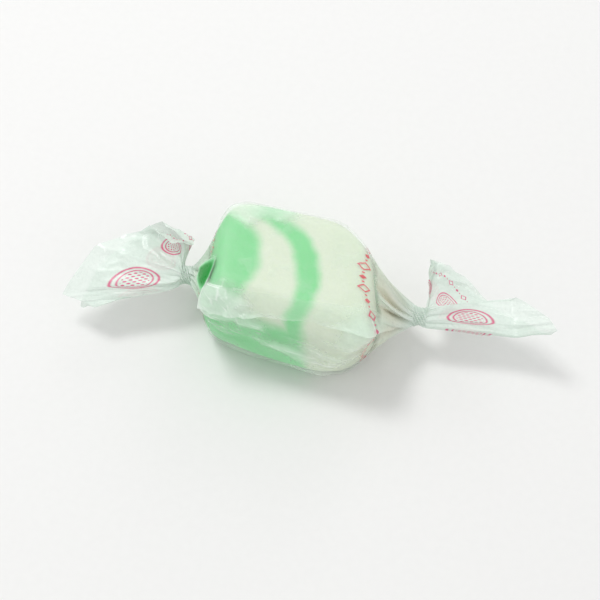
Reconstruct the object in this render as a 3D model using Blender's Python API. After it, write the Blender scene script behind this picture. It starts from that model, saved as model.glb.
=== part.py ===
"""A wrapped piece of salt water taffy: a soft, striped sweet in a waxed paper tube whose two ends are twisted.

Metres, +Z up. The twist axis runs along X, the flat underside lies on z = 0 and the origin is its centre.
An angle round the axis is 0 towards +Y, the back, and 90 degrees towards +Z, the top.
"""

import math

import bpy
import numpy as np

MM = 0.001

# The sweet is a block with soft edges. Each facet is (angle round the axis, lean towards +X, distance from the
# middle of the sweet), in degrees and metres.
SWEET_FACETS = (
    (90.0, 1.5, 7.3 * MM),  # top
    (48.0, 2.0, 9.7 * MM),  # upper back
    (4.0, 6.0, 9.2 * MM),  # back
    (-42.0, 3.0, 9.8 * MM),  # lower back
    (-90.0, 0.0, 7.3 * MM),  # underside
    (-143.0, -6.0, 10.2 * MM),  # lower front
    (168.0, -9.0, 9.3 * MM),  # front
    (128.0, -4.0, 9.4 * MM),  # upper front
    (95.0, -52.0, 12.0 * MM),  # left end, above
    (12.0, -61.0, 12.2 * MM),  # left end, behind
    (-88.0, -50.0, 11.9 * MM),  # left end, below
    (-172.0, -74.0, 12.9 * MM),  # left end
    (-170.0, -33.0, 11.6 * MM),  # left end, in front
    (86.0, 50.0, 12.7 * MM),  # right end, above
    (14.0, 45.0, 10.6 * MM),  # right end, back corner
    (4.0, 70.0, 11.7 * MM),  # right end, behind
    (-92.0, 52.0, 12.6 * MM),  # right end, below
    (-165.0, 38.0, 13.3 * MM),  # right end, in front
    (180.0, 84.0, 14.0 * MM),  # right end
)
SWEET_SHARPNESS = 16.0
DIMPLE = 0.22  # how far the twist presses in each end of the sweet, as a share of its length
DIMPLE_WIDTH = 0.05
SWEET_GAP = 0.35 * MM  # between the sweet and the paper

# The paper is modelled this thick, so that it is a solid. Its facets are crisper than the sweet's.
PAPER_WALL = 0.4 * MM
PAPER_SHARPNESS = 24.0
PAPER_STAND_OFF = SWEET_GAP + PAPER_WALL
UNDERSIDE_LEVEL = -7.75 * MM  # of the flat underside, from the middle of the sweet

# Ten pleats run the whole length of the tube. Each crease starts at one of these angles on the body.
CREASE_ANGLES = (12.0, 40.0, 66.0, 104.0, 138.0, 172.0, 206.0, 246.0, 290.0, 330.0)
PLEATS = len(CREASE_ANGLES)
PLEAT_STEPS = 4  # columns of faces in a pleat
COLUMNS = PLEATS * PLEAT_STEPS

# The twisted ends. A neck starts at its place beyond the shoulder, measured from the middle of the sweet.
NECK_RADIUS = 1.55 * MM
NECK_VALLEY = 0.72  # of the neck's radius, between its ridges
NECK_CHANNEL = 0.4 * MM  # radius of the way left open through the twist
NECK_WAIST = 0.15  # how much narrower the neck is halfway
LEAST_OPENING = 0.12  # of a flattened tail's thickness that stays open between its two sides
TAIL_SPREAD = 0.7  # power by which a tail widens from its root
SHOULDER_TWIST = 0.22  # share of the twist that is in the shoulder
RIM_POLAR_ANGLE = 38.0  # from the axis, where the paper leaves the body
POCKET_ANGLE = 120.0  # round the axis, where a shoulder stands out in a pocket
POCKET_REACH = 30.0  # of the pocket each way round the axis
TURN = 360.0
EDGE_INSET = 2.4  # walls by which the inside of a tail's cut edge is narrower than its outside
TINY = 1e-9  # keeps a length of nothing out of a division

# The valleys of a shoulder sink by the hollow, a share of its radius, and are pressed towards the sweet by the
# pit. Each takes its own share of both, and the bulge is how far the pocket stands out.
# Each crease of a tail is (angle across the fan, angle above it, length to the cut edge). A bend is (place along
# and across the tail, heading of the side beyond it, radius, most that it turns, 1 for up or -1 for down).
LEFT_END = {
    "side": -1.0,
    "neck": (13.6 * MM, -0.6 * MM, -0.3 * MM),
    "neck_length": 1.5 * MM,
    "hollow": 0.62,
    "pit": 1.2 * MM,
    "bulge": 1.3 * MM,
    "valleys": (0.8, 0.9, 1.0, 0.9, 0.5, 0.9, 0.8, 0.5, 0.7, 0.8),
    "twist": -6,  # pleats that the end is turned by
    "roll": 10.0,
    "creases": (
        (104.0, 2.0, 8.4 * MM),
        (84.0, 6.0, 8.8 * MM),
        (50.0, 2.0, 8.6 * MM),
        (8.0, 7.0, 12.5 * MM),
        (-17.0, 3.0, 17.0 * MM),
        (-30.0, 0.0, 12.8 * MM),
        (-24.0, -3.0, 15.5 * MM),
        (0.0, -5.0, 12.0 * MM),
        (34.0, -3.0, 9.0 * MM),
        (74.0, -5.0, 8.2 * MM),
    ),
    "bends": (
        (0.0, 3.2 * MM, 98.0, 1.7 * MM, 135.0, 1.0),
        (8.0 * MM, -3.0 * MM, -20.0, 14.0 * MM, 35.0, -1.0),
    ),
}
RIGHT_END = {
    "side": 1.0,
    "neck": (17.2 * MM, -1.2 * MM, -0.9 * MM),
    "neck_length": 1.9 * MM,
    "hollow": 0.5,
    "pit": 0.8 * MM,
    "bulge": 0.0,
    "valleys": (0.8, 1.0, 0.6, 0.9, 1.0, 0.5, 0.8, 0.6, 0.9, 0.7),
    "twist": 6,
    "roll": -8.0,
    "creases": (
        (96.0, 3.0, 9.0 * MM),
        (77.0, 8.0, 8.8 * MM),
        (30.0, 2.0, 8.2 * MM),
        (21.0, 7.0, 13.3 * MM),
        (3.0, 2.0, 17.0 * MM),
        (-3.0, 0.0, 18.1 * MM),
        (-2.0, -4.0, 16.0 * MM),
        (8.0, -2.0, 13.0 * MM),
        (24.0, -6.0, 10.0 * MM),
        (60.0, -4.0, 8.5 * MM),
    ),
    "bends": (
        (11.5 * MM, 0.0, 12.0, 2.2 * MM, 30.0, 1.0),
        (0.0, 3.0 * MM, 92.0, 6.0 * MM, 40.0, 1.0),
    ),
}

# Rows of faces along the tube
BODY_ROWS = 18
SHOULDER_ROWS = 6
NECK_ROWS = 7
TAIL_ROWS = 9
SWEET_ROWS = 26
SWEET_COLUMNS = 36

SWEET_COLOUR = (0.60, 0.86, 0.62, 1.0)
PAPER_COLOUR = (0.92, 0.95, 0.92, 1.0)


def facet_arrays():
    """The facets' normals and distances."""
    facets = np.array(SWEET_FACETS)
    around, lean = np.radians(facets[:, 0]), np.radians(facets[:, 1])
    normals = np.stack(
        [np.sin(lean), np.cos(lean) * np.cos(around), np.cos(lean) * np.sin(around)],
        axis=1,
    )
    return normals, facets[:, 2]


def block_level(points, grow, sharpness):
    """1 on the surface of the block grown by grow, less inside it: a soft maximum of the facets' distances,
    dimpled at the two ends."""
    normals, distances = facet_arrays()
    reach = np.maximum(points @ normals.T / (distances + grow), 0.0)
    level = (reach**sharpness).sum(axis=-1) ** (1.0 / sharpness)
    lengths = np.maximum(np.linalg.norm(points, axis=-1), TINY)
    off_axis = 1.0 - np.abs(points[..., 0]) / lengths
    return level / (1.0 - DIMPLE * np.exp(-off_axis / DIMPLE_WIDTH))


def on_block(directions, grow, sharpness):
    """The points where rays from the middle in these directions leave the block."""
    return directions / block_level(directions, grow, sharpness)[..., None]


def column_angles():
    """The angle round the axis of each column, in radians: the creases, and even steps between them."""
    knots = np.array(CREASE_ANGLES + (CREASE_ANGLES[0] + TURN,))
    places = np.arange(COLUMNS) / PLEAT_STEPS
    return np.radians(np.interp(places, np.arange(PLEATS + 1), knots))


def valley_share():
    """0 on each crease and 1 halfway between two creases, for each column."""
    share = np.arange(COLUMNS) % PLEAT_STEPS / PLEAT_STEPS
    return 1.0 - np.abs(2.0 * share - 1.0)


def per_column(values):
    """One value for each pleat, repeated over the pleat's columns."""
    return np.repeat(np.array(values), PLEAT_STEPS)


def rounds(x, radius, angle, centre):
    """Points at x from the middle, at this radius and angle round a centre (y, z)."""
    y = centre[0] + radius * np.cos(angle)
    z = centre[1] + radius * np.sin(angle)
    return np.stack([np.broadcast_to(x, y.shape), y, z], axis=-1)


def outer_body_rows():
    """Rows of the paper round the sweet, from the left rim to the right rim."""
    angles = column_angles()
    rim = math.radians(RIM_POLAR_ANGLE)
    rows = []
    for polar in np.linspace(math.pi - rim, rim, BODY_ROWS):
        directions = np.stack(
            [
                np.full(COLUMNS, math.cos(polar)),
                math.sin(polar) * np.cos(angles),
                math.sin(polar) * np.sin(angles),
            ],
            axis=-1,
        )
        rows.append(on_block(directions, PAPER_STAND_OFF, PAPER_SHARPNESS))
    return rows


def pocket():
    """1 in the middle of the pocket, falling smoothly to 0 on each side of it, for each column."""
    away = np.abs(np.degrees(column_angles()) - POCKET_ANGLE) / POCKET_REACH
    share = np.clip(1.0 - away, 0.0, 1.0)
    return share * share * (3.0 - 2.0 * share)


def shoulder_rows(end, rim_row, shrink):
    """Rows from the rim to the neck. The creases run straight, and the valleys between them sink to the axis."""
    neck_x, neck_y, neck_z = end["neck"]
    rim_radius = np.hypot(rim_row[:, 1], rim_row[:, 2])
    depth = end["hollow"] * per_column(end["valleys"]) * valley_share()
    rows = []
    for step in range(1, SHOULDER_ROWS + 1):
        t = step / SHOULDER_ROWS
        sink = depth * math.sin(math.pi * t**2)
        x = rim_row[:, 0] + (end["side"] * neck_x - rim_row[:, 0]) * t - end["side"] * end["pit"] * sink
        x = x + end["side"] * end["bulge"] * pocket() * math.sin(math.pi * t**0.7)
        radius = rim_radius + (neck_radius(shrink) - rim_radius) * t
        radius = np.maximum(radius * (1.0 - sink), NECK_CHANNEL)
        rows.append(rounds(x, radius, twisted_angle(end, SHOULDER_TWIST * t * t), (neck_y * t, neck_z * t)))
    return rows


def neck_radius(shrink):
    """The neck's radius at each column: ridges and valleys outside, a round channel inside."""
    if shrink:
        return np.full(COLUMNS, NECK_CHANNEL)
    return NECK_RADIUS * (1.0 - (1.0 - NECK_VALLEY) * valley_share())


def tail_ring(end):
    """The angle of each column where the neck ends and the tail begins."""
    return 2.0 * math.pi * (np.arange(COLUMNS) / COLUMNS + end["twist"] / PLEATS) + math.radians(end["roll"])


def twisted_angle(end, share):
    """The angle of each column where this share of the twist has been made."""
    return column_angles() + (tail_ring(end) - column_angles()) * share


def neck_rows(end, shrink):
    """Rows along the neck, turning about its own axis."""
    neck_x, neck_y, neck_z = end["neck"]
    rows = []
    for step in range(1, NECK_ROWS + 1):
        t = step / NECK_ROWS
        waist = 1.0 - NECK_WAIST * math.sin(math.pi * t)
        x = end["side"] * (neck_x + end["neck_length"] * t)
        angle = twisted_angle(end, SHOULDER_TWIST + (1.0 - SHOULDER_TWIST) * t)
        rows.append(rounds(x, neck_radius(shrink) * waist, angle, (neck_y, neck_z)))
    return rows


def edge_points(end):
    """The tail's cut edge from its root, one point for each column: straight from crease to crease."""
    creases = np.array(end["creases"])
    across, above = np.radians(creases[:, 0]), np.radians(creases[:, 1])
    tips = creases[:, 2:] * np.stack(
        [np.cos(across) * np.cos(above), np.sin(across) * np.cos(above), np.sin(above)],
        axis=1,
    )
    places = np.arange(COLUMNS) / PLEAT_STEPS
    knots = np.arange(PLEATS + 1)
    tips = np.vstack([tips, tips[:1]])
    return np.stack([np.interp(places, knots, tips[:, i]) for i in range(3)], axis=1)


def narrowed(edge):
    """The same edge drawn in by the paper's wall. Each column is paired with the one across the fan."""
    across = edge[(-np.arange(COLUMNS)) % COLUMNS]
    middle = (edge + across) / 2.0
    half = np.linalg.norm(edge - across, axis=1, keepdims=True) / 2.0
    kept = np.maximum(1.0 - PAPER_WALL / np.maximum(half, TINY), LEAST_OPENING)
    centre = middle.mean(axis=0)
    width = np.ptp(middle[:, 1])
    middle = centre + (middle - centre) * (1.0 - EDGE_INSET * PAPER_WALL / width)
    return middle + (edge - across) / 2.0 * kept


def bent(along, across, above, bend):
    """Points of a tail turned over a rounded line: those beyond the line go round it, then straight on."""
    line_along, line_across, heading, radius, most, upward = bend
    toward = (math.cos(math.radians(heading)), math.sin(math.radians(heading)))
    beyond = (along - line_along) * toward[0] + (across - line_across) * toward[1]
    turn = np.clip(beyond / radius, 0.0, math.radians(most))
    rest = np.maximum(beyond - radius * math.radians(most), 0.0)
    arm = radius - above * upward
    reach = np.where(beyond > 0.0, arm * np.sin(turn) + rest * np.cos(turn), beyond)
    height = np.where(beyond > 0.0, radius - arm * np.cos(turn) + rest * np.sin(turn), above * upward)
    shift = reach - beyond
    return along + shift * toward[0], across + shift * toward[1], height * upward


def tail_rows(end, shrink):
    """Rows from the neck to the cut edge: flat pleats that spread from the twist, then the tail's bends."""
    neck_x, neck_y, neck_z = end["neck"]
    edge = edge_points(end)
    if shrink:
        edge = narrowed(edge)
    edge = np.roll(edge, -PLEAT_STEPS * end["twist"], axis=0)
    roll = math.radians(end["roll"])
    ring = tail_ring(end) - roll
    rows = []
    for step in range(1, TAIL_ROWS + 1):
        t = step / TAIL_ROWS
        root = neck_radius(shrink) * (1.0 - t) ** 2
        along = edge[:, 0] * t
        across = root * np.cos(ring) + edge[:, 1] * t**TAIL_SPREAD
        above = root * np.sin(ring) + edge[:, 2] * t**TAIL_SPREAD
        for bend in end["bends"]:
            along, across, above = bent(along, across, above, bend)
        x = end["side"] * (neck_x + end["neck_length"] + along)
        y = neck_y + across * math.cos(roll) - above * math.sin(roll)
        z = neck_z + across * math.sin(roll) + above * math.cos(roll)
        rows.append(np.stack([x, y, z], axis=-1))
    return rows


def end_rows(end, rim_row, shrink):
    """All the rows of one end, from the rim outwards."""
    return shoulder_rows(end, rim_row, shrink) + neck_rows(end, shrink) + tail_rows(end, shrink)


def clear_of_sweet(rows, grow):
    """The rows with every point that would come too near the sweet moved out to rest against it."""
    level = block_level(rows, grow, SWEET_SHARPNESS)
    return rows * np.maximum(1.0, 1.0 / np.maximum(level, TINY))[..., None]


def above_underside(rows, lift):
    """The rows with the body's underside pressed flat."""
    rows = rows.copy()
    rows[..., 2] = np.maximum(rows[..., 2], UNDERSIDE_LEVEL + lift)
    return rows


def wrapper_rows():
    """The wrapper as one closed ring of rows: out along its outside, and back along its inside."""
    outer_body = outer_body_rows()
    inner_body = [row * (1.0 - PAPER_WALL / np.linalg.norm(row, axis=1))[:, None] for row in outer_body]
    sides = []
    for body, shrink, grow, lift in (
        (outer_body, 0.0, PAPER_STAND_OFF, 0.0),
        (inner_body, PAPER_WALL, SWEET_GAP, PAPER_WALL),
    ):
        left = end_rows(LEFT_END, body[0], shrink)
        right = end_rows(RIGHT_END, body[-1], shrink)
        rows = np.array(left[::-1] + body + right)
        sides.append(above_underside(clear_of_sweet(rows, grow), lift))
    outer, inner = sides
    return np.concatenate([outer, inner[::-1]])


def ring_mesh(name, rows):
    """A mesh from rows of columns that close on themselves both ways."""
    row_count, column_count = rows.shape[:2]
    row, column = np.meshgrid(np.arange(row_count), np.arange(column_count), indexing="ij")
    next_row, next_column = (row + 1) % row_count, (column + 1) % column_count
    corners = [(row, column), (row, next_column), (next_row, next_column), (next_row, column)]
    faces = np.stack([r * column_count + c for r, c in corners], axis=-1).reshape(-1, 4)
    mesh = bpy.data.meshes.new(name)
    mesh.from_pydata(rows.reshape(-1, 3).tolist(), [], faces.tolist())
    return mesh


def sweet_mesh(name):
    """The sweet as rows round its long axis, closed by a point at each end."""
    polar = np.linspace(0.0, math.pi, SWEET_ROWS + 1)[1:-1, None]
    around = 2.0 * math.pi * np.arange(SWEET_COLUMNS)[None, :] / SWEET_COLUMNS
    directions = np.stack(
        np.broadcast_arrays(
            np.cos(polar), np.sin(polar) * np.cos(around), np.sin(polar) * np.sin(around)
        ),
        axis=-1,
    )
    rows = on_block(directions, 0.0, SWEET_SHARPNESS)
    rows = above_underside(rows, PAPER_STAND_OFF)
    poles = on_block(np.array([[1.0, 0.0, 0.0], [-1.0, 0.0, 0.0]]), 0.0, SWEET_SHARPNESS)
    points = np.concatenate([rows.reshape(-1, 3), poles])
    ring_count = SWEET_ROWS - 1
    right_pole = ring_count * SWEET_COLUMNS
    faces = []
    for column in range(SWEET_COLUMNS):
        following = (column + 1) % SWEET_COLUMNS
        for ring in range(ring_count - 1):
            near, far = ring * SWEET_COLUMNS, (ring + 1) * SWEET_COLUMNS
            faces.append((near + column, far + column, far + following, near + following))
        last = (ring_count - 1) * SWEET_COLUMNS
        faces.append((right_pole, column, following))
        faces.append((right_pole + 1, last + following, last + column))
    mesh = bpy.data.meshes.new(name)
    mesh.from_pydata(points.tolist(), [], faces)
    return mesh


def material(name, colour, roughness):
    """A plain finish with no metal in it."""
    made = bpy.data.materials.new(name)
    made.use_nodes = True
    shader = made.node_tree.nodes["Principled BSDF"]
    shader.inputs["Base Color"].default_value = colour
    shader.inputs["Roughness"].default_value = roughness
    shader.inputs["Metallic"].default_value = 0.0
    return made


def place(mesh, finish):
    """An object for the mesh, lifted so that the underside is on z = 0."""
    mesh.validate()
    mesh.materials.append(finish)
    mesh.shade_smooth()
    mesh.set_sharp_from_angle(angle=math.radians(30.0))
    made = bpy.data.objects.new(mesh.name, mesh)
    made.location = (0.0, 0.0, -UNDERSIDE_LEVEL)
    bpy.context.scene.collection.objects.link(made)
    return made


def main():
    for old in list(bpy.data.objects):
        bpy.data.objects.remove(old)
    place(sweet_mesh("taffy"), material("taffy", SWEET_COLOUR, 0.45))
    place(ring_mesh("wrapper", wrapper_rows()), material("waxed_paper", PAPER_COLOUR, 0.4))


main()
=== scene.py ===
"""A wrapped piece of salt water taffy: the striped sweet and its sheet of waxed paper, on a pale floor.

The sheet is one surface of rows and columns. A column is a line along the tube, counted in pleats round it,
and a row is a ring round the tube. A row's points are given by its part of the tube: the body rests on the
sweet, the shoulder closes down to the neck, the neck turns about the axis, and the tail fans out flat
between creases.

X runs along the tube, Y to the back and Z up. Shapes are in millimetres from the middle of the sweet.
Patterns are in millimetres too, from the middle of its underside or along the flat sheet. The studio is in
metres.
"""

import math

import bpy
import numpy as np
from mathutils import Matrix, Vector


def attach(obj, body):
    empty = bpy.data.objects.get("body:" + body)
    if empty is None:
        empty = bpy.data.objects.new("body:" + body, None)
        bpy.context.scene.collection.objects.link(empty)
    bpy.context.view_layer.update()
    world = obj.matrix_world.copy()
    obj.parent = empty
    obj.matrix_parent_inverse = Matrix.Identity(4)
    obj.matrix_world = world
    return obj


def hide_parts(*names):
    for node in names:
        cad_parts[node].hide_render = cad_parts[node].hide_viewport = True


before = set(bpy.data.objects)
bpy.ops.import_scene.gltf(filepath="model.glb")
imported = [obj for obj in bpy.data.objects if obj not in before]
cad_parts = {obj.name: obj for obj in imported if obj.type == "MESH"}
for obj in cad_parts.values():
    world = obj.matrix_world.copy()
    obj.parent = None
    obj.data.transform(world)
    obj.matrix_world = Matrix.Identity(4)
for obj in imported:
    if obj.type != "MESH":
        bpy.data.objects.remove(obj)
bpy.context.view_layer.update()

MM = 0.001
TURN = 360.0
TINY = 1e-9

# The sweet: facets as (angle round the axis, lean towards +X, distance from the middle), as in the solid
SWEET_FACETS = (
    (90.0, 1.5, 7.3),
    (48.0, 2.0, 9.7),
    (4.0, 6.0, 9.2),
    (-42.0, 3.0, 9.8),
    (-90.0, 0.0, 7.3),
    (-143.0, -6.0, 10.2),
    (168.0, -9.0, 9.3),
    (128.0, -4.0, 9.4),
    (95.0, -52.0, 12.0),
    (12.0, -61.0, 12.2),
    (-88.0, -50.0, 11.9),
    (-172.0, -74.0, 12.9),
    (-170.0, -33.0, 11.6),
    (86.0, 50.0, 12.7),
    (14.0, 45.0, 10.6),
    (4.0, 70.0, 11.7),
    (-92.0, 52.0, 12.6),
    (-165.0, 38.0, 13.3),
    (180.0, 84.0, 14.0),
)
SWEET_SHARPNESS = 22.0
PAPER_SHARPNESS = 28.0
MIDDLE_HEIGHT = 7.75  # of the sweet's middle above the floor
DIMPLE = 0.22  # how far each end of the sweet is pressed in, as a share of its length
DIMPLE_WIDTH = 0.05
SWELLS = 0.012  # how far the sweet's uneven swells sink, as a share of its size
SWEET_RINGS = 150
SWEET_COLUMNS = 220

# The sheet: the angles of its creases round the body, and its long edges, counted in pleats
CREASE_ANGLES = (12.0, 40.0, 66.0, 104.0, 138.0, 172.0, 206.0, 246.0, 290.0, 330.0)
PLEATS = len(CREASE_ANGLES)
PLEAT_STEPS = 28
PLEAT_WIDTH = 6.3  # of flat paper
INNER_EDGE = 3.75
OUTER_EDGE = 14.3  # on the front of the body
BODY_ROWS = 84
SHOULDER_ROWS = 40
NECK_ROWS = 20
TAIL_ROWS = 56
END_ROWS = SHOULDER_ROWS + NECK_ROWS + TAIL_ROWS

CLING = 0.12  # between the paper and the sweet where it clings
LOWEST_PAPER = 0.14  # above the floor
LAP_GAP = 0.05
LAP_ONSET = 0.2  # in pleats
RIM_POLAR_ANGLE = 38.0

NECK_RADIUS = 1.55
NECK_VALLEY = 0.72  # its radius in a valley, as a share
NECK_RIDGES = 0.06  # how deep its finer ridges are, as a share
NECK_WAIST = 0.15
TAIL_SPREAD = 0.7  # power by which a tail widens from its root
SHOULDER_TWIST = 0.22
SHOULDER_RIDGES = 0.1

# The pocket of paper by the left rim: its angle round the body, and its place between the rim and the neck
POCKET_ANGLE = 120.0
POCKET_REACH = 30.0
POCKET_PLACE = 0.08
POCKET_LENGTH = 0.44
POCKET_AT_RIM = 0.45  # how far its onset has come at the rim
POCKET_ONSET = 0.12
CREST_SHARE = 0.35  # how much of a shoulder's valley its crests show

# Each crease of a tail is (angle across the fan, angle above it, length to the cut edge). A bend is (place
# along and across the tail, heading of the side beyond it, radius, most that it turns, 1 for up or -1 for
# down). A hollow and its pit are how far the shoulder's valleys sink to the axis and back to the body, and a
# bulge is how far its pocket stands out.
LEFT_END = {
    "side": -1.0,
    "neck": (13.6, -0.6, -0.3),
    "neck_length": 1.5,
    "hollow": 0.62,
    "pit": 1.2,
    "bulge": 1.3,
    "valleys": (0.8, 0.9, 1.0, 0.9, 0.5, 0.9, 0.8, 0.5, 0.7, 0.8),
    "twist": -6,
    "roll": 10.0,
    "creases": (
        (104.0, 2.0, 8.4),
        (84.0, 6.0, 8.8),
        (50.0, 2.0, 8.6),
        (8.0, 7.0, 12.5),
        (-17.0, 3.0, 17.0),
        (-30.0, 0.0, 12.8),
        (-24.0, -3.0, 15.5),
        (0.0, -5.0, 12.0),
        (34.0, -3.0, 9.0),
        (74.0, -5.0, 8.2),
    ),
    "bends": (
        (0.0, 3.2, 98.0, 1.7, 135.0, 1.0),
        (8.0, -3.0, -20.0, 14.0, 35.0, -1.0),
    ),
}
RIGHT_END = {
    "side": 1.0,
    "neck": (17.2, -1.2, -0.9),
    "neck_length": 1.9,
    "hollow": 0.5,
    "pit": 0.8,
    "bulge": 0.0,
    "valleys": (0.8, 1.0, 0.6, 0.9, 1.0, 0.5, 0.8, 0.6, 0.9, 0.7),
    "twist": 6,
    "roll": -8.0,
    "creases": (
        (96.0, 3.0, 9.0),
        (77.0, 8.0, 8.8),
        (30.0, 2.0, 8.2),
        (21.0, 7.0, 13.3),
        (3.0, 2.0, 17.0),
        (-3.0, 0.0, 18.1),
        (-2.0, -4.0, 16.0),
        (8.0, -2.0, 13.0),
        (24.0, -6.0, 10.0),
        (60.0, -4.0, 8.5),
    ),
    "bends": (
        (11.5, 0.0, 12.0, 2.2, 30.0, 1.0),
        (0.0, 3.0, 92.0, 6.0, 40.0, 1.0),
    ),
}

# Height of the crumpling at a tail's cut edge, at its root, at the neck's inner end and at the rim
CRUMPLE_HEIGHTS = (0.42, 0.12, 0.05, 0.12)
BODY_CRUMPLE = 0.02
RIM_CRUMPLE = 0.1  # what is added to that beside the rims
RIM_REACH = 7.0  # in rows
BODY_SHARE = 0.6  # on the body the crumpling is this share of itself, moved outwards by as much
CLEAR_ROWS = 10.0  # in which that sets in, before the rim
SHARPEST_CREASE = 0.1

# Sizes of the creases across and along the flat sheet
BROAD_CREASES = (3.4, 4.6)
FINE_CREASES = (1.3, 1.8)
FINE_SHARE = 0.28  # of the broad creases' height
SLACK_FOLDS = (2.4, 6.5)
BUNCH_CREASES = (4.5, 4.5)

# The sheet's outer long edge: how far it curls off the body and wanders round it, and each reach in pleats
CURL = 0.28
CURL_UNEVEN = 0.22
CURL_REACH = 0.12
EDGE_SWAY = 0.6
EDGE_TEAR = 0.5
EDGE_REACH = 0.3

# Loose paper bunched against the body: angle round it, place along it, reach each way, height, and how much
# of its reach the flat top takes
BUNCHES = (
    (147.0, -8.6, 25.0, 4.6, 0.95, 0.35),
    (157.0, -4.2, 16.0, 3.6, 0.55, 0.3),
    (178.0, 1.5, 20.0, 6.0, 0.35, 0.3),
    (150.0, 10.5, 15.0, 3.0, 0.28, 0.4),
    (48.0, -4.5, 17.0, 7.5, 0.55, 0.3),
)
BUNCH_SIDES = 6

# Where the paper lies slack on the body: angle round it, reach each way, even lift and lift of its folds
SLACK = (
    (178.0, 26.0, 0.04, 0.26),
    (352.0, 28.0, 0.03, 0.24),
    (270.0, 30.0, 0.06, 0.1),
)

# The sweet's layers, seen from above: the middle and radius of each circle that bounds one
CORE = (-11.4, -1.3, 7.4)
BAND_INSIDE = (-8.8, -4.1, 10.3)
BAND_OUTSIDE = (-4.9, -3.1, 9.5)
CORNER_LAYER = (-8.6, -1.8, 19.2)
BAND_FRONT = -8.5  # past which the band runs straight down
BAND_BACK = 5.8
SWEET_TOP = 15.0
LAYER_LEAN = 0.1  # how far a layer moves towards +X as it drops

# Where the front is green: this far below the top, this far forward, and no further along than this
FRONT_DROP = (2.0, 4.6)
FRONT_DEPTH = (5.0, 7.6)
FRONT_END = (1.6, 3.8)

# How far the paper stands off the sweet where each of its states sets in
VEIL_LIFT = (0.12, 0.7)
LOOSE_LIFT = (0.3, 0.8)
MILKY_LIFT = (0.9, 4.0)

# The print: lengths in millimetres of the flat sheet, (across, along) for an ellipse
LEFT_BORDER = 9.6  # inwards from the tail's root
LEFT_BORDER_SQUEEZE = 1.5
RIGHT_BORDER = 13.7
EDGING = 8.6  # outwards from a tail's root
EDGING_SCALE = 0.75
EDGING_SHIFT = 1.3
LEFT_EDGING = (11.0, 24.0)  # between these places across the sheet
RIGHT_EDGING = (0.5, 14.0)
OVALS = 4.4  # outwards from a tail's root
OVAL_SPACING = 12.6
OVAL_SHIFT = 6.0
OUTER_OVAL = (3.3, 2.2)
INNER_OVAL = (2.6, 1.6)
DOTTED_OVAL = (2.25, 1.3)
DOT_SPACING = 0.84

# A border's repeat, and the (middle, half width) of its outlined diamond and its filled one
BORDER_REPEAT = 4.5
OUTLINED_DIAMOND = (1.0, 0.85)
FILLED_DIAMOND = (3.25, 0.45)
DOT_FROM_FILLED = 0.94

# What each state of the paper adds to its opacity
OPACITY = {
    "clear": 0.06,
    "fibres": 0.1,
    "patches": 0.1,
    "veil": 0.24,
    "milky": 0.32,
    "loose": 0.2,
    "crease": 0.32,
    "valley": 0.28,
    "hollow": 0.8,
    "print": 0.82,
}

# Colours, in pairs where one varies to the other
GREEN_TAFFY = ((0.185, 0.655, 0.253, 1.0), (0.235, 0.715, 0.315, 1.0))
CREAM_TAFFY = ((0.67, 0.75, 0.59, 1.0), (0.76, 0.81, 0.68, 1.0))
NEAR_PAPER = ((0.76, 0.93, 0.79, 1.0), (0.86, 0.96, 0.86, 1.0))
# Loose paper is paler mint, and brightened as painted light for the light shining through it
LOOSE_PAPER_WITH_PAINTED_LIGHT = (0.84, 0.99, 0.86, 1.0)
TAIL_PAPER = ((0.73, 0.85, 0.77, 1.0), (0.83, 0.92, 0.85, 1.0))
# Painted shade: the shoulders' paper darkens to these in its valleys, greyer on the left and beige on the
# right
SHOULDER_PAINTED_SHADE = ((0.64, 0.72, 0.60, 1.0), (0.72, 0.65, 0.51, 1.0))
# Creases whiten where the wax cracks, and the white also serves as a painted highlight along the folds
CREASE_WHITE_AND_PAINTED_HIGHLIGHT = (0.95, 0.98, 0.95, 1.0)
# The pocket by the left rim: painted green for the sweet seen through it, and painted shade at its core
POCKET_EDGE = (0.25, 0.74, 0.34, 1.0)
POCKET_PAINTED_SHADE = (0.004, 0.28, 0.03, 1.0)
TAIL_PRINT = ((0.62, 0.03, 0.16, 1.0), (0.80, 0.07, 0.24, 1.0))
BODY_PRINT = ((0.68, 0.07, 0.10, 1.0), (0.78, 0.12, 0.15, 1.0))
FLOOR_GREYS = ((0.83, 0.83, 0.82, 1.0), (0.86, 0.86, 0.85, 1.0))
WHITE = (1.0, 1.0, 1.0, 1.0)

# The studio, in metres: each light as (name, place, width, watts)
LIGHTS = (
    ("key", (-0.16, 0.10, 0.42), 0.12, 0.72),
    ("fill", (0.35, -0.25, 0.30), 0.30, 0.14),
    ("rim", (0.10, 0.40, 0.22), 0.20, 0.18),
)
LIGHTS_AIM = (0.0, 0.0, 0.008)
SKY_STRENGTH = 0.72
FLOOR_REACH = 1.5
CAMERA_AIM = (0.0015, -0.001, 0.006)
CAMERA_DISTANCE = 0.195
CAMERA_AZIMUTH = 10.0
CAMERA_ELEVATION = 60.0
CAMERA_LENS = 85.0


# Shapes


def facet_arrays():
    """The facets' unit normals, from their angles round the axis and towards it, and their distances."""
    facets = np.array(SWEET_FACETS)
    around, lean = np.radians(facets[:, 0]), np.radians(facets[:, 1])
    normals = np.stack(
        [np.sin(lean), np.cos(lean) * np.cos(around), np.cos(lean) * np.sin(around)], axis=1
    )
    return normals, facets[:, 2]


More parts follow.
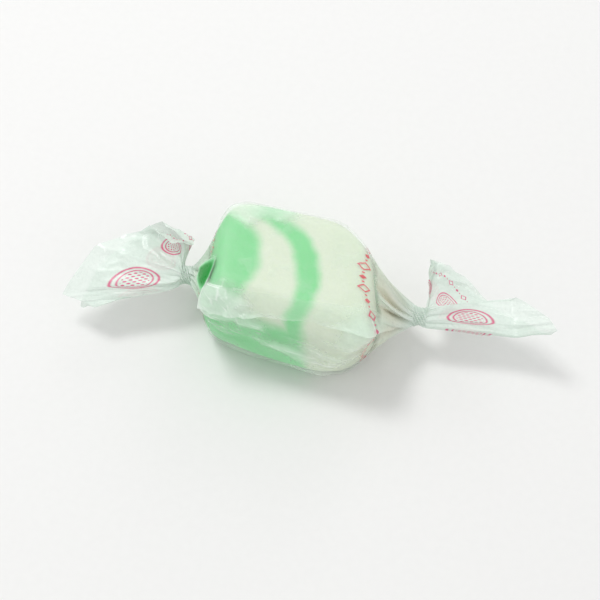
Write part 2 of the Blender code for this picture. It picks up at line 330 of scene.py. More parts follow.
def block_level(points, grow, sharpness):
    """1 on the sweet's surface grown by grow, and less inside. Each facet's part is the point's reach along
    its normal over its distance. The parts are raised to a power and added, and the root of the sum is
    taken. Near the axis it is divided by less than 1, which dimples the ends."""
    normals, distances = facet_arrays()
    reach = np.maximum(points @ normals.T / (distances + grow), 0.0)
    level = (reach**sharpness).sum(axis=-1) ** (1.0 / sharpness)
    lengths = np.maximum(np.linalg.norm(points, axis=-1), TINY)
    off_axis = 1.0 - np.abs(points[..., 0]) / lengths
    return level / (1.0 - DIMPLE * np.exp(-off_axis / DIMPLE_WIDTH))


def on_block(directions, grow, sharpness):
    """The points where rays from the middle leave the block: each direction divided by its level."""
    return directions / block_level(directions, grow, sharpness)[..., None]


def ease(t):
    """A smooth step from 0 to 1: three times the square less twice the cube."""
    t = np.clip(t, 0.0, 1.0)
    return t * t * (3.0 - 2.0 * t)


def bump(value, centre, half_width):
    """1 at the centre, falling smoothly to 0 at half a width from it."""
    return ease(1.0 - np.abs(value - centre) / half_width)


def turned_from(angle, centre):
    """The turn from the centre to an angle, the shorter way round, in degrees."""
    return (angle - centre + TURN / 2.0) % TURN - TURN / 2.0


def body_angle(place):
    """The angle round the axis, in radians, of a place counted in pleats: straight between the creases."""
    whole = np.floor(place / PLEATS)
    knots = np.array(CREASE_ANGLES + (CREASE_ANGLES[0] + TURN,))
    return np.radians(np.interp(place - whole * PLEATS, np.arange(PLEATS + 1), knots) + TURN * whole)


def valley_share(place):
    """0 on each crease and 1 halfway between two creases, straight between."""
    return 1.0 - np.abs(2.0 * (place % 1.0) - 1.0)


def pleat_value(values, place):
    """The value of the pleat that a place is in."""
    return np.array(values)[np.floor(place).astype(int) % PLEATS]


def crumple(a, b, seed, folds=7):
    """Relief like crumpled paper, from -1 to 1: triangle waves across random lines, each wave shifting the
    ones after it, so that straight creases meet and break each other."""
    draw = np.random.default_rng(seed)
    relief = np.zeros_like(a)
    total = 0.0
    for fold in range(folds):
        heading = draw.uniform(0.0, 2.0 * math.pi)
        length = draw.uniform(0.8, 2.2) * 0.86**fold
        along = a * math.cos(heading) + b * math.sin(heading) + draw.uniform(0.0, 9.0)
        wave = np.abs(along / length % 1.0 - 0.5) * 4.0 - 1.0
        weight = length**1.2
        relief += wave * weight
        total += weight
        shift = wave * 0.16 * length
        a = a - math.sin(heading) * shift
        b = b + math.cos(heading) * shift
    return relief / total


def bunched(a, b, angle, x):
    """How far the bunches of loose paper stand off the body. Each is a low tent: the least of the heights of
    its flat sides, which slope in from a straight-sided outline, cut off by a flat top that a few creases
    cross."""
    height = np.zeros_like(a)
    draw = np.random.default_rng(4)
    for centre, middle, half_turn, half_width, rise, flat in BUNCHES:
        across = turned_from(angle, centre) / half_turn
        across = across + 0.2 * crumple(a / 3.5 + middle, b / 3.5, seed=9, folds=4)
        along = (x - middle) / half_width + 0.15 * crumple(a / 3.0, b / 3.0 + middle, seed=14, folds=4)
        inside = np.full_like(a, 1.0 - flat)
        for side in range(BUNCH_SIDES):
            heading = 2.0 * math.pi * (side + draw.uniform(-0.3, 0.3)) / BUNCH_SIDES
            reach = draw.uniform(0.85, 1.05)
            inside = np.minimum(inside, reach - along * math.cos(heading) - across * math.sin(heading))
        tent = np.clip(inside / (1.0 - flat), 0.0, 1.0)
        crossed = crumple(a / BUNCH_CREASES[0] + centre, b / BUNCH_CREASES[1], seed=21, folds=4)
        creases = 0.76 + 0.34 * crossed
        height = np.maximum(height, rise * tent * creases)
    return height


def slack_height(a, b, angle):
    """How far the slack paper stands off the body: an even lift and the upper parts of long folds, which
    fade as a bell curve of the turn away from the middle of the slack."""
    folds = np.clip(0.3 + crumple(a / SLACK_FOLDS[0], b / SLACK_FOLDS[1], seed=31, folds=4), 0.0, 1.0)
    height = np.zeros_like(a)
    for centre, reach, even, folded in SLACK:
        away = turned_from(angle, centre) / reach
        height = height + np.exp(-(away**2)) * (even + folded * folds)
    return height


def crumple_height(a, b, inward):
    """How far the crumpling lifts the sheet: broad creases with fine ones on them, moved outwards on the
    body, times a height. The height runs straight from knot to knot between the cut edge and the rim, and
    fades exponentially past it."""
    shape = crumple(a / BROAD_CREASES[0], b / BROAD_CREASES[1], seed=5, folds=5)
    shape = shape + FINE_SHARE * crumple(a / FINE_CREASES[0], b / FINE_CREASES[1], seed=8, folds=3)
    near_body = np.clip(inward / CLEAR_ROWS + 1.0, 0.0, 1.0)[:, None]
    shape = shape + (BODY_SHARE * (1.0 + shape) - shape) * near_body
    knots = (-END_ROWS, -SHOULDER_ROWS - NECK_ROWS, -SHOULDER_ROWS, 0)
    on_ends = np.interp(inward, knots, CRUMPLE_HEIGHTS)
    on_body = BODY_CRUMPLE + RIM_CRUMPLE * np.exp(-np.maximum(inward, 0) / RIM_REACH)
    return shape * np.where(inward < 0, on_ends, on_body)[:, None]


def ripple(points, seed, waves=9):
    """Slow uneven swells over a surface, from about -1 to 1: sines across random planes, added up."""
    draw = np.random.default_rng(seed)
    swell = np.zeros(points.shape[:-1])
    for _ in range(waves):
        heading = draw.normal(size=3)
        heading /= np.linalg.norm(heading)
        swell += np.sin(points @ heading * draw.uniform(0.25, 0.75) + draw.uniform(0.0, 6.3))
    return swell / math.sqrt(waves)


def sphere_directions(polar, around):
    """Unit vectors: the rows are angles from +X, and the columns are angles round the axis."""
    polar, around = polar[:, None], around[None, :]
    parts = np.cos(polar), np.sin(polar) * np.cos(around), np.sin(polar) * np.sin(around)
    return np.stack(np.broadcast_arrays(*parts), axis=-1)


def rounds(x, radius, angle, centre):
    """Points at x, at this radius and angle round a centre (y, z)."""
    y = centre[0] + radius * np.cos(angle)
    z = centre[1] + radius * np.sin(angle)
    return np.stack([np.broadcast_to(x, y.shape), y, z], axis=-1)


def neck_radius(place):
    """The neck's radius at each column: less in the valleys, and in a second, finer set of them."""
    fine = valley_share(place * 2.0 + 0.3)
    return NECK_RADIUS * (1.0 - (1.0 - NECK_VALLEY) * valley_share(place) - NECK_RIDGES * fine)


def tail_ring(end, place):
    """The angle of each column where the neck ends and the tail begins: even pleats, twisted and rolled."""
    return 2.0 * math.pi * (place + end["twist"]) / PLEATS + math.radians(end["roll"])


def twisted_angle(end, place, share):
    """The angle of each column where this share of the way from the body's to the tail's is made."""
    return body_angle(place) + (tail_ring(end, place) - body_angle(place)) * share


def body_rows(place):
    """Rows round the sweet, from the left rim to the right rim: the block, grown by the gap."""
    rim = math.radians(RIM_POLAR_ANGLE)
    polar = np.linspace(math.pi - rim, rim, BODY_ROWS)
    return on_block(sphere_directions(polar, body_angle(place)), CLING, PAPER_SHARPNESS)


def pocket(place):
    """1 in the middle of the pocket of paper in front of the shoulder's top, and 0 away from it."""
    return bump(np.degrees(body_angle(place)) % TURN, POCKET_ANGLE, POCKET_REACH)


def shoulder_rows(end, place, rim_row):
    """Rows from the rim to the neck: crests run straight, and the valleys between them sink to the axis by
    half a sine wave, deepest past halfway."""
    neck_x, neck_y, neck_z = end["neck"]
    rim_radius = np.hypot(rim_row[:, 1], rim_row[:, 2])
    depth = end["hollow"] * pleat_value(end["valleys"], place) * valley_share(place)
    depth = depth + SHOULDER_RIDGES * valley_share(place * 2.0 + 0.37)
    rows = []
    for step in range(1, SHOULDER_ROWS + 1):
        t = step / SHOULDER_ROWS
        x = rim_row[:, 0] + (end["side"] * neck_x - rim_row[:, 0]) * t
        radius = rim_radius + (neck_radius(place) - rim_radius) * t
        sink = math.sin(math.pi * t**2)
        radius = radius * (1.0 - depth * sink)
        x = x - end["side"] * end["pit"] * depth * sink
        x = x + end["side"] * end["bulge"] * pocket(place) * math.sin(math.pi * t**0.7)
        angle = twisted_angle(end, place, SHOULDER_TWIST * t * t)
        rows.append(rounds(x, radius, angle, (neck_y * t, neck_z * t)))
    return rows


def neck_rows(end, place):
    """Rows along the neck, turning evenly about its own axis, with a waist of half a sine wave."""
    neck_x, neck_y, neck_z = end["neck"]
    rows = []
    for step in range(1, NECK_ROWS + 1):
        t = step / NECK_ROWS
        waist = 1.0 - NECK_WAIST * math.sin(math.pi * t)
        x = end["side"] * (neck_x + end["neck_length"] * t)
        angle = twisted_angle(end, place, SHOULDER_TWIST + (1.0 - SHOULDER_TWIST) * t)
        rows.append(rounds(x, neck_radius(place) * waist, angle, (neck_y, neck_z)))
    return rows


def edge_points(end, place):
    """The tail's cut edge from its root: straight from crease to crease."""
    creases = np.array(end["creases"])
    across, above = np.radians(creases[:, 0]), np.radians(creases[:, 1])
    tips = creases[:, 2:] * np.stack(
        [np.cos(across) * np.cos(above), np.sin(across) * np.cos(above), np.sin(above)], axis=1
    )
    tips = np.vstack([tips, tips[:1]])
    knots = np.arange(PLEATS + 1)
    turned = (place + end["twist"]) % PLEATS
    return np.stack([np.interp(turned, knots, tips[:, i]) for i in range(3)], axis=1)


def bent(along, across, above, bend):
    """Points of a tail turned over a rounded line: those beyond the line go round it, then straight on."""
    line_along, line_across, heading, radius, most, upward = bend
    toward = np.array([math.cos(math.radians(heading)), math.sin(math.radians(heading))])
    beyond = (along - line_along) * toward[0] + (across - line_across) * toward[1]
    turn = np.clip(beyond / radius, 0.0, math.radians(most))
    rest = np.maximum(beyond - radius * math.radians(most), 0.0)
    arm = radius - above * upward
    reach = np.where(beyond > 0.0, arm * np.sin(turn) + rest * np.cos(turn), beyond)
    height = np.where(beyond > 0.0, radius - arm * np.cos(turn) + rest * np.sin(turn), above * upward)
    shift = reach - beyond
    return along + shift * toward[0], across + shift * toward[1], height * upward


def tail_rows(end, place):
    """Rows from the neck to the cut edge: the neck's ring shrinks away, the flat pleats run straight out and
    spread by a power of the way, and the tail's bends turn them."""
    neck_x, neck_y, neck_z = end["neck"]
    edge = edge_points(end, place)
    roll = math.radians(end["roll"])
    ring = tail_ring(end, place) - roll
    rows = []
    for step in range(1, TAIL_ROWS + 1):
        t = step / TAIL_ROWS
        root = neck_radius(place) * (1.0 - t) ** 2
        spread = t**TAIL_SPREAD
        along = edge[:, 0] * t
        across = root * np.cos(ring) + edge[:, 1] * spread
        above = root * np.sin(ring) + edge[:, 2] * spread
        for bend in end["bends"]:
            along, across, above = bent(along, across, above, bend)
        x = end["side"] * (neck_x + end["neck_length"] + along)
        y = neck_y + across * math.cos(roll) - above * math.sin(roll)
        z = neck_z + across * math.sin(roll) + above * math.cos(roll)
        rows.append(np.stack([x, y, z], axis=-1))
    return rows


def smooth_sheet(place):
    """The sheet before it is crumpled: rows from the left tail's cut edge to the right one's."""
    body = list(body_rows(place))
    left, right = (
        shoulder_rows(end, place, rim_row) + neck_rows(end, place) + tail_rows(end, place)
        for end, rim_row in ((LEFT_END, body[0]), (RIGHT_END, body[-1]))
    )
    return np.array(left[::-1] + body + right)


def grid_normals(points):
    """Unit normals of a grid of rows and columns, out of the tube: the cross product of its two slopes."""
    along = np.gradient(points, axis=0)
    round_tube = np.gradient(points, axis=1)
    normal = np.cross(round_tube, along)
    return normal / np.maximum(np.linalg.norm(normal, axis=-1, keepdims=True), TINY)


def crease_share(relief):
    """0 where the relief is smooth and 1 on a sharp crease: the size of its second differences."""
    across = np.zeros_like(relief)
    along = np.zeros_like(relief)
    across[:, 1:-1] = np.abs(relief[:, 2:] - 2.0 * relief[:, 1:-1] + relief[:, :-2])
    along[1:-1] = np.abs(relief[2:] - 2.0 * relief[1:-1] + relief[:-2])
    return np.clip((across + along) / SHARPEST_CREASE, 0.0, 1.0)


def outside_sweet(points, on_body):
    """The ends' points that lie inside the sweet, moved straight out from its middle to the gap round it."""
    level = np.maximum(block_level(points, CLING, SWEET_SHARPNESS), TINY)
    return points * np.where(on_body, 1.0, np.maximum(1.0, 1.0 / level))[..., None]


def edge_shift(points, b, to_edge, on_body):
    """How far the paper moves round the body beside its outer long edge, which makes that edge uneven: a
    sine and a crumple of the place along it, fading exponentially away from it."""
    ragged = EDGE_SWAY * np.sin(b / 3.7 + 1.0) + EDGE_TEAR * crumple(b / 4.2, b / 5.0, seed=2)
    near_edge = np.exp(-to_edge / EDGE_REACH) * on_body
    tangent = np.gradient(points, axis=1)
    tangent /= np.maximum(np.linalg.norm(tangent, axis=-1, keepdims=True), TINY)
    return tangent * (ragged * near_edge)[..., None]


def paper_values(points, place, inward, folded):
    """What the material reads at each point. The lift is how far the paper stands off the sweet on a ray
    from the middle. The crease is how sharply it is creased. The valley is half a sine wave from rim to
    neck, most between the crests, and the material paints shade by it. The hollow is where the pocket by the
    left rim is painted green for the sweet seen through it, with painted shade at its core: a bump along the
    shoulder times one round it."""
    from_middle = np.linalg.norm(points, axis=-1)
    lift = from_middle * (1.0 - 1.0 / np.maximum(block_level(points, 0.0, SWEET_SHARPNESS), 1.0))
    shoulder = np.clip(-inward / SHOULDER_ROWS, 0.0, 1.0)  # 0 at the rim and 1 at the neck
    between_crests = CREST_SHARE + (1.0 - CREST_SHARE) * valley_share(place)
    on_left = np.arange(len(points)) < len(points) / 2
    on_left_shoulder = on_left & (shoulder > 0.0) & (shoulder < 1.0)
    onset = ease(POCKET_AT_RIM + shoulder / POCKET_ONSET)
    hollow = on_left_shoulder * bump(shoulder, POCKET_PLACE, POCKET_LENGTH) * onset
    return {
        "lift": lift,
        "crease": crease_share(folded),
        "valley": np.sin(math.pi * shoulder)[:, None] * between_crests,
        "hollow": hollow[:, None] * pocket(place),
    }


def sheet():
    """The paper's points, the flat sheet's own two coordinates there, and the values that the material
    reads. The smooth sheet is moved along its normals by the crumpling, the loose paper, the lap over the
    sheet's own inner edge and the curl of its outer edge. Then it is kept out of the sweet and the table."""
    columns = round((OUTER_EDGE - INNER_EDGE) * PLEAT_STEPS) + 1
    place = np.linspace(INNER_EDGE, OUTER_EDGE, columns)
    points = smooth_sheet(place)
    steps = np.linalg.norm(np.diff(points, axis=0), axis=-1).mean(axis=1)
    a, b = np.meshgrid(place * PLEAT_WIDTH, np.concatenate([[0.0], np.cumsum(steps)]))
    below = np.where(place < INNER_EDGE + PLEATS, place, place - PLEATS)
    a_below = np.broadcast_to(below * PLEAT_WIDTH, a.shape)  # the same for both layers of the lap

    row = np.arange(len(points))
    inward = np.minimum(row, len(points) - 1 - row) - END_ROWS  # in rows from the nearer rim
    on_body = (inward >= 0)[:, None]
    angle = np.degrees(body_angle(place))[None, :] % TURN
    loose = bunched(a_below, b, angle, points[..., 0]) + slack_height(a_below, b, angle)
    folded = crumple_height(a_below, b, inward) + loose * on_body
    lap = np.clip((place - INNER_EDGE - PLEATS) / LAP_ONSET, 0.0, 1.0) * LAP_GAP
    to_edge = OUTER_EDGE - place
    curl = np.exp(-to_edge / CURL_REACH) * (CURL + CURL_UNEVEN * crumple(a / 2.0, b / 1.5, seed=7))
    points = points + grid_normals(points) * (folded + lap + curl)[..., None]
    points = outside_sweet(points, on_body)
    points = points + edge_shift(points, b, to_edge, on_body)
    points[..., 2] = np.maximum(points[..., 2], LOWEST_PAPER - MIDDLE_HEIGHT)
    return points, a, b, paper_values(points, place, inward, folded)


def sweet_points():
    """Rings of points round the sweet, and its two ends: the block, with slow swells and a flat base."""
    polar = np.linspace(0.0, math.pi, SWEET_RINGS + 2)[1:-1]
    around = 2.0 * math.pi * np.arange(SWEET_COLUMNS) / SWEET_COLUMNS
    rings = on_block(sphere_directions(polar, around), 0.0, SWEET_SHARPNESS)
    rings = rings * (1.0 - SWELLS * np.maximum(ripple(rings, seed=3), 0.0))[..., None]
    rings[..., 2] = np.maximum(rings[..., 2], CLING * 2.0 - MIDDLE_HEIGHT)
    ends = on_block(np.array([[1.0, 0.0, 0.0], [-1.0, 0.0, 0.0]]), 0.0, SWEET_SHARPNESS)
    return rings, ends


# Meshes


def to_row_frame(points):
    """Points in metres above the floor, from points in millimetres from the sweet's middle."""
    return points.reshape(-1, 3) * MM + np.array([0.0, 0.0, MIDDLE_HEIGHT * MM])


def grid_faces(rows, columns):
    """The quads of an open grid."""
    row, column = np.meshgrid(np.arange(rows - 1), np.arange(columns - 1), indexing="ij")
    first = (row * columns + column).ravel()
    return np.stack([first, first + 1, first + columns + 1, first + columns], axis=1)


def add_attribute(mesh, name, values):
    """A value for each point, for the material to read."""
    attribute = mesh.attributes.new(name, "FLOAT", "POINT")
    attribute.data.foreach_set("value", np.asarray(values, dtype=np.float32).ravel())


def add_flat_map(mesh, a, b, faces):
    """The flat sheet's coordinates at each face's corners, from 0 to 1 both ways."""
    u = (a - a.min()) / np.ptp(a)
    v = (b - b.min()) / np.ptp(b)
    corners = np.stack([u.ravel(), v.ravel()], axis=1)[faces.ravel()]
    mesh.uv_layers.new(name="SheetUV").data.foreach_set("uv", corners.astype(np.float32).ravel())


def sheet_mesh():
    """The paper as an open grid of quads, with its flat map and values, and the flat sheet's lengths."""
    points, a, b, values = sheet()
    faces = grid_faces(*a.shape)
    mesh = bpy.data.meshes.new("paper")
    mesh.from_pydata(to_row_frame(points).tolist(), [], faces.tolist())
    add_flat_map(mesh, a, b, faces)
    for name, value in values.items():
        add_attribute(mesh, name, value)
    size = {
        "across": float(np.ptp(a)),
        "along": float(np.ptp(b)),
        "left_tail": float(b[TAIL_ROWS, 0]),
        "right_tail": float(b[-1, 0] - b[-1 - TAIL_ROWS, 0]),
    }
    return mesh, size


def sweet_mesh():
    """The sweet as closed rings of quads, with a fan of triangles round each end's middle point."""
    rings, ends = sweet_points()
    ring_count, columns = rings.shape[:2]
    points = np.concatenate([to_row_frame(rings), to_row_frame(ends)])
    column = np.arange(columns)
    after = (column + 1) % columns
    near = np.arange(ring_count - 1)[:, None] * columns
    far = near + columns
    quads = np.stack([near + column, far + column, far + after, near + after], axis=-1).reshape(-1, 4)
    last = (ring_count - 1) * columns
    right_end = np.full(columns, ring_count * columns)
    right_fan = np.stack([right_end, column, after], axis=1)
    left_fan = np.stack([right_end + 1, last + after, last + column], axis=1)
    mesh = bpy.data.meshes.new("sweet")
    mesh.from_pydata(points.tolist(), [], quads.tolist() + right_fan.tolist() + left_fan.tolist())
    return mesh


def link(name, data):
    """An object in the scene for a mesh, lamp or camera."""
    made = bpy.data.objects.new(name, data)
    bpy.context.scene.collection.objects.link(made)
    return made


def put(mesh, material, sharp=180.0):
    """An object for a mesh that is already in its place, smooth where its faces meet at a smaller angle."""
    mesh.materials.append(material)
    mesh.shade_smooth()
    if sharp < 180.0:
        mesh.set_sharp_from_angle(angle=math.radians(sharp))
    return link(mesh.name, mesh)


# Materials


class Socket:
    """A value in a material's node tree. Arithmetic on it adds the nodes for it."""

    def __init__(self, tree, socket):
        self.tree = tree
        self.socket = socket

    def make(self, kind, settings, values, output=0):
        """A new node's output: its settings first, then values or links for its inputs."""
        node = self.tree.nodes.new(kind)
        for name, value in settings.items():
            setattr(node, name, value)
        for key, value in values.items():
            if isinstance(value, Socket):
                self.tree.links.new(value.socket, node.inputs[key])
            else:
                node.inputs[key].default_value = value
        return Socket(self.tree, node.outputs[output])

    def combine(self, operation, *values):
        """A Math node on these values, or a Vector Math node where one of them is a vector or a colour."""
        if any(isinstance(value, Socket) and value.socket.type in ("VECTOR", "RGBA") for value in values):
            return self.make("ShaderNodeVectorMath", {"operation": operation}, dict(enumerate(values)))
        return self.make("ShaderNodeMath", {"operation": operation}, dict(enumerate(values)))

    def __add__(self, other):
        return self.combine("ADD", self, other)

    def __radd__(self, other):
        return self.combine("ADD", other, self)

    def __sub__(self, other):
        return self.combine("SUBTRACT", self, other)

    def __rsub__(self, other):
        return self.combine("SUBTRACT", other, self)

    def __mul__(self, other):
        return self.combine("MULTIPLY", self, other)

    def __rmul__(self, other):
        return self.combine("MULTIPLY", other, self)

    def __truediv__(self, other):
        return self.combine("DIVIDE", self, other)

    def __rtruediv__(self, other):
        return self.combine("DIVIDE", other, self)

    def maths(self, operation, *others):
        """Any other Math operation on this value."""
        return self.combine(operation, self, *others)

    def most(self, *others):
        """The greatest of this value and the others."""
        greatest = self
        for other in others:
            greatest = greatest.maths("MAXIMUM", other)
        return greatest

    def scaled(self, scale):
        """This vector times a number."""
        return self.make("ShaderNodeVectorMath", {"operation": "SCALE"}, {0: self, "Scale": scale})

    def parts(self):
        """This vector's three values."""
        return [self.make("ShaderNodeSeparateXYZ", {}, {0: self}, output) for output in range(3)]

    def step(self, low, high):
        """0 below low, 1 above high, and smooth between."""
        ends = {0: self, 1: low, 2: high, 3: 0.0, 4: 1.0}
        return self.make("ShaderNodeMapRange", {"interpolation_type": "SMOOTHSTEP"}, ends)

    def band(self, low, high, soft):
        """1 between low and high, with edges this soft."""
        return self.step(low - soft, low + soft) * (1.0 - self.step(high - soft, high + soft))

    def blend(self, first, second):
        """A colour from first at 0 to second at 1."""
        return self.make("ShaderNodeMix", {"data_type": "RGBA"}, {0: self, 6: first, 7: second}, output=2)

    def mix(self, first, second):
        """A number from first at 0 to second at 1."""
        return first + (second - first) * self

    def noise(self, scale, detail=2.0, roughness=0.5):
        """Smooth noise from 0 to 1 at these coordinates."""
        values = {"Vector": self, "Scale": scale, "Detail": detail, "Roughness": roughness}
        return self.make("ShaderNodeTexNoise", {}, values)


def new_material(name):
    """An empty material, its shader node and a start for its sockets."""
    material = bpy.data.materials.new(name)
    material.use_nodes = True
    tree = material.node_tree
    shader = tree.nodes["Principled BSDF"]
    return material, shader, Socket(tree, shader.outputs[0])


def connect(shader, name, value):
    """Feeds a value to one of the shader's inputs."""
    value.tree.links.new(value.socket, shader.inputs[name])


def object_place(start):
    """The place on the piece, in metres."""
    return start.make("ShaderNodeTexCoord", {}, {}, "Object")


def roughen(shader, start, strength, depth, height):
    """Bends the shader's normals as a surface with these heights, from 0 to 1 of this depth, would."""
    values = {"Strength": strength, "Distance": depth, "Height": height}
    connect(shader, "Normal", start.make("ShaderNodeBump", {}, values))


def distance(x, y):
    """The root of the sum of the squares."""
    return (x * x + y * y).maths("SQRT")


def within(x, y, circle, soft):
    """1 inside a circle and 0 outside it, smooth for this much either side of its radius."""
    middle_x, middle_y, radius = circle
    return 1.0 - distance(x - middle_x, y - middle_y).step(radius - soft, radius + soft)


def green_share(place, ragged):
    """1 in the sweet's green layers and 0 in the cream. Circles seen from above bound the core and the two
    sides of the band, which runs straight down the front and the back. Below the top, the front is green as
    far as the band, and a last ring shows low on the back. All are worked out at an x that leans with the
    drop from the top and wanders."""
    wander = place.noise(0.16, 2.0)
    x, y, z = place.parts()
    drop = SWEET_TOP - z
    shift = (wander - 0.5) * 1.8 + (ragged - 0.5) * 0.6
    layer_x = x - drop * LAYER_LEAN + shift
    band_y = y.maths("MAXIMUM", BAND_FRONT).maths("MINIMUM", BAND_BACK)
    inside = within(layer_x, band_y, BAND_INSIDE, 0.8)
    band = (1.0 - inside) * within(layer_x, band_y, BAND_OUTSIDE, 0.8)
    core = within(layer_x, y, CORE, 1.0)
    front = drop.step(*FRONT_DROP) * (0.0 - y).step(*FRONT_DEPTH) * (1.0 - layer_x.step(*FRONT_END))
    corner_x, corner_y, corner_radius = CORNER_LAYER
    corner = distance(layer_x - corner_x, y - corner_y).band(corner_radius - 1.0, corner_radius + 1.0, 0.9)
    corner = corner * y.step(-3.0, 1.0) * drop.step(6.0, 11.0)
    return band.most(core, front, corner)


def sweet_material():
    """Green and cream layers that run through the sweet and blur into each other."""
    material, shader, start = new_material("sweet")
    place = object_place(start).scaled(1.0 / MM)
    ragged = place.noise(0.7, 2.0)
    green = green_share(place, ragged)
    depth = place.noise(0.3, 3.0)
    colour = green.blend(depth.blend(*CREAM_TAFFY), depth.blend(*GREEN_TAFFY))
    connect(shader, "Base Color", colour)
    connect(shader, "Roughness", ragged * 0.15 + 0.38)
    shader.inputs["Subsurface Weight"].default_value = 0.35
    shader.inputs["Subsurface Radius"].default_value = (1.0, 1.0, 0.8)
    shader.inputs["Subsurface Scale"].default_value = 0.0018
    roughen(shader, start, 0.25, 0.0004, place.noise(0.5, 3.0))
    return material


def ring_of(x, y, radii, line):
    """1 on the outline of an ellipse with these radii, with a line this thick as a share of its size."""
    return distance(x / radii[0], y / radii[1]).band(1.0 - line, 1.0, 0.05)


def dotted(x, y, shift):
    """1 on the dots of a square grid, moved by a share of its spacing both ways."""
    from_x = (x / DOT_SPACING + shift).maths("FRACT") - 0.5
    from_y = (y / DOT_SPACING + shift + 10.0).maths("FRACT") - 0.5
    return 1.0 - distance(from_x, from_y).step(0.17, 0.26)


def bordered(across, height, scale):
    """1 on a border of outlined and filled diamonds with dots between them, along the line of no height. A
    diamond is where the distances across and along from its middle add up to its half width."""
    cell = (across / scale).maths("MODULO", BORDER_REPEAT)
    height = (height / scale).maths("ABSOLUTE")
    outlined_middle, outlined_half = OUTLINED_DIAMOND
    from_outlined = (cell - outlined_middle).maths("ABSOLUTE")
    outlined = (from_outlined / outlined_half + height / outlined_half).band(0.66, 1.0, 0.06)
    filled_middle, filled_half = FILLED_DIAMOND
    from_filled = (cell - filled_middle).maths("ABSOLUTE")
    filled = 1.0 - (from_filled / filled_half + height / filled_half).step(0.85, 1.1)
    dot = 1.0 - distance(from_filled - DOT_FROM_FILLED, height).step(0.12, 0.2)
    return outlined.most(filled, dot)


def printed_share(across, along, hollow, on_right, size):
    """1 where the sheet is printed: a border along each rim, one near each tail's edge, and outlined ovals
    filled with rows of dots at the roots of the tails."""
    before_left = along - size["left_tail"]
    before_right = (size["along"] - along) - size["right_tail"]
    inward = before_left.maths("MINIMUM", before_right)

    left_border = bordered(across, (before_left - LEFT_BORDER) * LEFT_BORDER_SQUEEZE, 1.0)
    borders = left_border.most(bordered(across, before_right - RIGHT_BORDER, 1.0))
    borders = borders * (1.0 - hollow.step(0.02, 0.1))
    window = on_right.mix(across.band(*LEFT_EDGING, 0.1), across.band(*RIGHT_EDGING, 0.1))
    edging = bordered(across + EDGING_SHIFT, inward + EDGING, EDGING_SCALE) * window

    cell = (across + OVAL_SHIFT).maths("MODULO", OVAL_SPACING)
    from_middle = cell - OVAL_SPACING / 2.0
    from_oval = inward + OVALS
    outer = ring_of(from_middle, from_oval, OUTER_OVAL, 0.12)
    inner = ring_of(from_middle, from_oval, INNER_OVAL, 0.11)
    reach = distance(from_middle / DOTTED_OVAL[0], from_oval / DOTTED_OVAL[1])
    dots = dotted(cell, from_oval, 0.0).most(dotted(cell, from_oval, 0.5))
    dots = dots * (1.0 - (reach * reach).step(0.8, 1.0))
    return borders.most(edging, outer, inner, dots)


def paper_material(size):
    """Waxed paper: clear where it clings to the sweet, milky where it stands off, with a pink print."""
    material, shader, start = new_material("waxed_paper")
    place = object_place(start).scaled(1.0 / MM)
    lift, crease, valley, hollow = (
        start.make("ShaderNodeAttribute", {"attribute_name": name}, {}, "Fac")
        for name in ("lift", "crease", "valley", "hollow")
    )
    u, v, _ = start.make("ShaderNodeUVMap", {"uv_map": "SheetUV"}, {}).parts()
    across = u * size["across"]
    along = v * size["along"]
    on_right = along.step(0.49 * size["along"], 0.51 * size["along"])
    printed = printed_share(across, along, hollow, on_right, size)

    crease = crease.step(0.3, 1.5)
    fibres = place.noise(2.2, 4.0, 0.6)
    patches = place.noise(0.35, 2.0).step(0.55, 0.68)
    veil = lift.step(*VEIL_LIFT)
    milky = lift.step(*MILKY_LIFT)
    loose = lift.step(*LOOSE_LIFT) * (1.0 - milky)
    # Where the paper stands loose it turns paler, brightened as painted light for light shining through it
    near = loose.blend(fibres.blend(*NEAR_PAPER), LOOSE_PAPER_WITH_PAINTED_LIGHT)
    far = fibres.blend(*TAIL_PAPER)
    # Painted shade: the paper turns to the shoulders' darker colours in their valleys
    paper = (valley * 0.8).blend(milky.blend(near, far), on_right.blend(*SHOULDER_PAINTED_SHADE))
    # Whitened creases: cracked wax, and also a painted highlight along the folds
    paper = crease.blend(paper, CREASE_WHITE_AND_PAINTED_HIGHLIGHT)
    # Painted green for the sweet seen through the pocket by the left rim, then painted shade, a deep green,
    # at its core
    paper = hollow.step(0.05, 0.55).blend(paper, POCKET_EDGE)
    paper = hollow.step(0.3, 0.75).blend(paper, POCKET_PAINTED_SHADE)
    ink = veil.blend(fibres.blend(*BODY_PRINT), fibres.blend(*TAIL_PRINT))
    connect(shader, "Base Color", printed.blend(paper, ink))

    shares = {
        "fibres": fibres,
        "patches": patches * (1.0 - veil),
        "veil": veil,
        "milky": milky,
        "loose": loose,
        "crease": crease,
        "valley": valley,
        "hollow": hollow.step(0.05, 0.6),
    }
    alpha = OPACITY["clear"]
    for name, share in shares.items():
        alpha = alpha + share * OPACITY[name]
    connect(shader, "Alpha", alpha.most(printed * OPACITY["print"]))
    connect(shader, "Roughness", fibres * 0.2 + 0.2)
    roughen(shader, start, 0.35, 0.0002, place.noise(1.1, 2.0, 0.5))
    return material


def floor_material():
    """A matt pale table with a fine grain."""
    material, shader, start = new_material("pale_floor")
    grain = object_place(start).noise(900.0, 3.0)
    connect(shader, "Base Color", grain.blend(*FLOOR_GREYS))
    shader.inputs["Roughness"].default_value = 0.7
    return material


# Studio


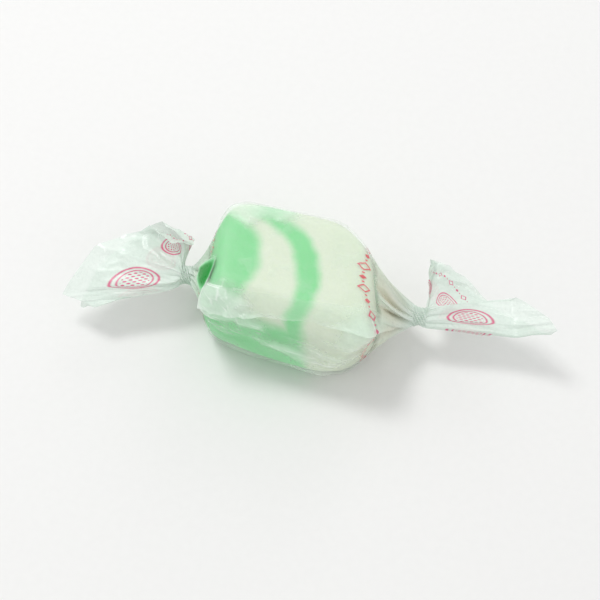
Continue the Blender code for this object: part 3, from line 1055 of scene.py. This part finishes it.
def point_at(thing, aim):
    """Turns a lamp or camera so that its own -Z runs to a point."""
    direction = Vector(aim) - thing.location
    thing.rotation_euler = direction.to_track_quat("-Z", "Y").to_euler()


def build_floor():
    """One square of table at no height."""
    corners = [(x * FLOOR_REACH, y * FLOOR_REACH, 0.0) for x, y in ((-1, -1), (1, -1), (1, 1), (-1, 1))]
    mesh = bpy.data.meshes.new("floor")
    mesh.from_pydata(corners, [], [(0, 1, 2, 3)])
    floor = put(mesh, floor_material())


def build_lights():
    """Three square soft lights and an even white sky."""
    for name, place, width, watts in LIGHTS:
        light = bpy.data.lights.new(name, "AREA")
        light.size = width
        light.energy = watts
        lamp = link(name, light)
        lamp.location = place
        point_at(lamp, LIGHTS_AIM)
    world = bpy.data.worlds.new("studio")
    bpy.context.scene.world = world
    world.use_nodes = True
    background = world.node_tree.nodes["Background"]
    background.inputs["Color"].default_value = WHITE
    background.inputs["Strength"].default_value = SKY_STRENGTH


def build_camera():
    """The camera at a distance from its aim: turned round from the front, then raised."""
    azimuth, elevation = math.radians(CAMERA_AZIMUTH), math.radians(CAMERA_ELEVATION)
    camera = bpy.data.cameras.new("camera")
    camera.lens = CAMERA_LENS
    camera.clip_start = 0.01
    made = link("camera", camera)
    made.location = (
        CAMERA_AIM[0] + CAMERA_DISTANCE * math.sin(azimuth) * math.cos(elevation),
        CAMERA_AIM[1] - CAMERA_DISTANCE * math.cos(azimuth) * math.cos(elevation),
        CAMERA_AIM[2] + CAMERA_DISTANCE * math.sin(elevation),
    )
    point_at(made, CAMERA_AIM)
    bpy.context.scene.camera = made


def main():
    """The studio, then the sweet and the paper in place of their solids."""
    build_camera()
    build_lights()
    build_floor()
    bpy.context.scene.view_settings.view_transform = "Standard"
    bpy.context.scene.cycles.transparent_max_bounces = 24

    sweet = put(sweet_mesh(), sweet_material())
    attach(sweet, "root")
    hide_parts("taffy")

    mesh, size = sheet_mesh()
    paper = put(mesh, paper_material(size), sharp=40.0)
    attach(paper, "root")
    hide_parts("wrapper")


main()
